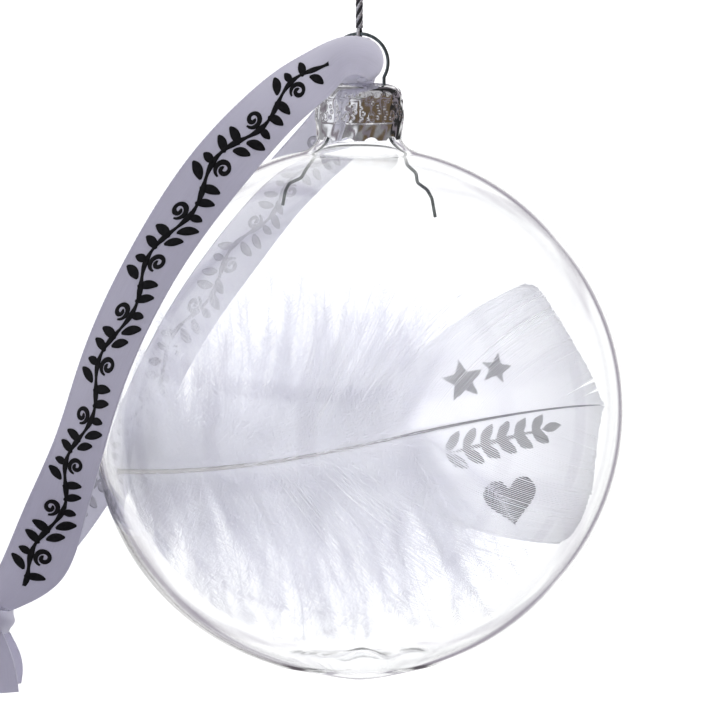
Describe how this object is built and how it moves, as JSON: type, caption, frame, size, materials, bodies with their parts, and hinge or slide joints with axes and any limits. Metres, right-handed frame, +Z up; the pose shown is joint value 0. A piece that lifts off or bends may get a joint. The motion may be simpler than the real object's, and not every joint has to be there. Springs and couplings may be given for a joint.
{
  "type": "glass ball ornament",
  "caption": "Clear blown-glass ball with a feather inside, an embossed crown cap, a spring wire eye, a satin ribbon loop and a metallic thread to hang it by.",
  "frame": {"origin": "hang point: inside the top of the thread loop, where a hook or twig carries the ornament", "axes": "+Z up along the thread, +X to the right and -Y to the front, where the printed sides of the ribbon and the feather face"},
  "size_m": [0.1007, 0.08, 0.1499],
  "materials": {
    "thread": "twisted metallic thread, silver and dark strands",
    "wire": "drawn spring wire",
    "cap": "bright embossed foil",
    "glass": "clear blown glass, 1 mm",
    "ribbon": "white satin, printed",
    "shaft": "horn of a feather's shaft",
    "vane": "white goose feather vane",
    "down": "white down"
  },
  "bodies": {
    "hook_loop": {"thread_loop": "thread", "thread_knot": "thread"},
    "cord": {"thread": "thread"},
    "cord_end": {"thread_bight": "thread"},
    "hanger": {"wire_eye": "wire", "wire_legs": "wire", "cap": "cap"},
    "ribbon_loop": {"ribbon": "ribbon", "ribbon_knot": "ribbon", "ribbon_tails": "ribbon"},
    "ball": {"glass_ball": "glass"},
    "feather": {"feather_shaft": "shaft", "vane_upper": "vane", "vane_lower": "vane", "down_upper": "down", "down_lower": "down"}
  },
  "joints": [
    {"name": "thread_swing", "type": "hinge", "parent": "hook_loop", "child": "cord", "pos_m": [0, 0, -0.01445], "axis": [0, 1, 0], "range_deg": [-35, 35], "deforming": ["thread"]},
    {"name": "thread_twist", "type": "hinge", "parent": "cord", "child": "cord_end", "pos_m": [0, 0, -0.04645], "axis": [0, 0, 1], "range_deg": [-180, 180]},
    {"name": "eye_swing", "type": "hinge", "parent": "cord_end", "child": "hanger", "pos_m": [0, 0, -0.04738], "axis": [1, 0, 0], "range_deg": [-30, 30]},
    {"name": "ribbon_lift", "type": "hinge", "parent": "hanger", "child": "ribbon_loop", "pos_m": [0.0004, 0, -0.05128], "axis": [0, 1, 0], "range_deg": [0, 146]},
    {"name": "ball_pull", "type": "slide", "parent": "hanger", "child": "ball", "axis": [0, 0, -1], "range_m": [0, 0.026], "deforming": ["wire_legs"]},
    {"name": "feather_turn", "type": "hinge", "parent": "ball", "child": "feather", "pos_m": [0, 0, -0.10408], "axis": [0, 0, 1], "range_deg": [-180, 180]}
  ]
}
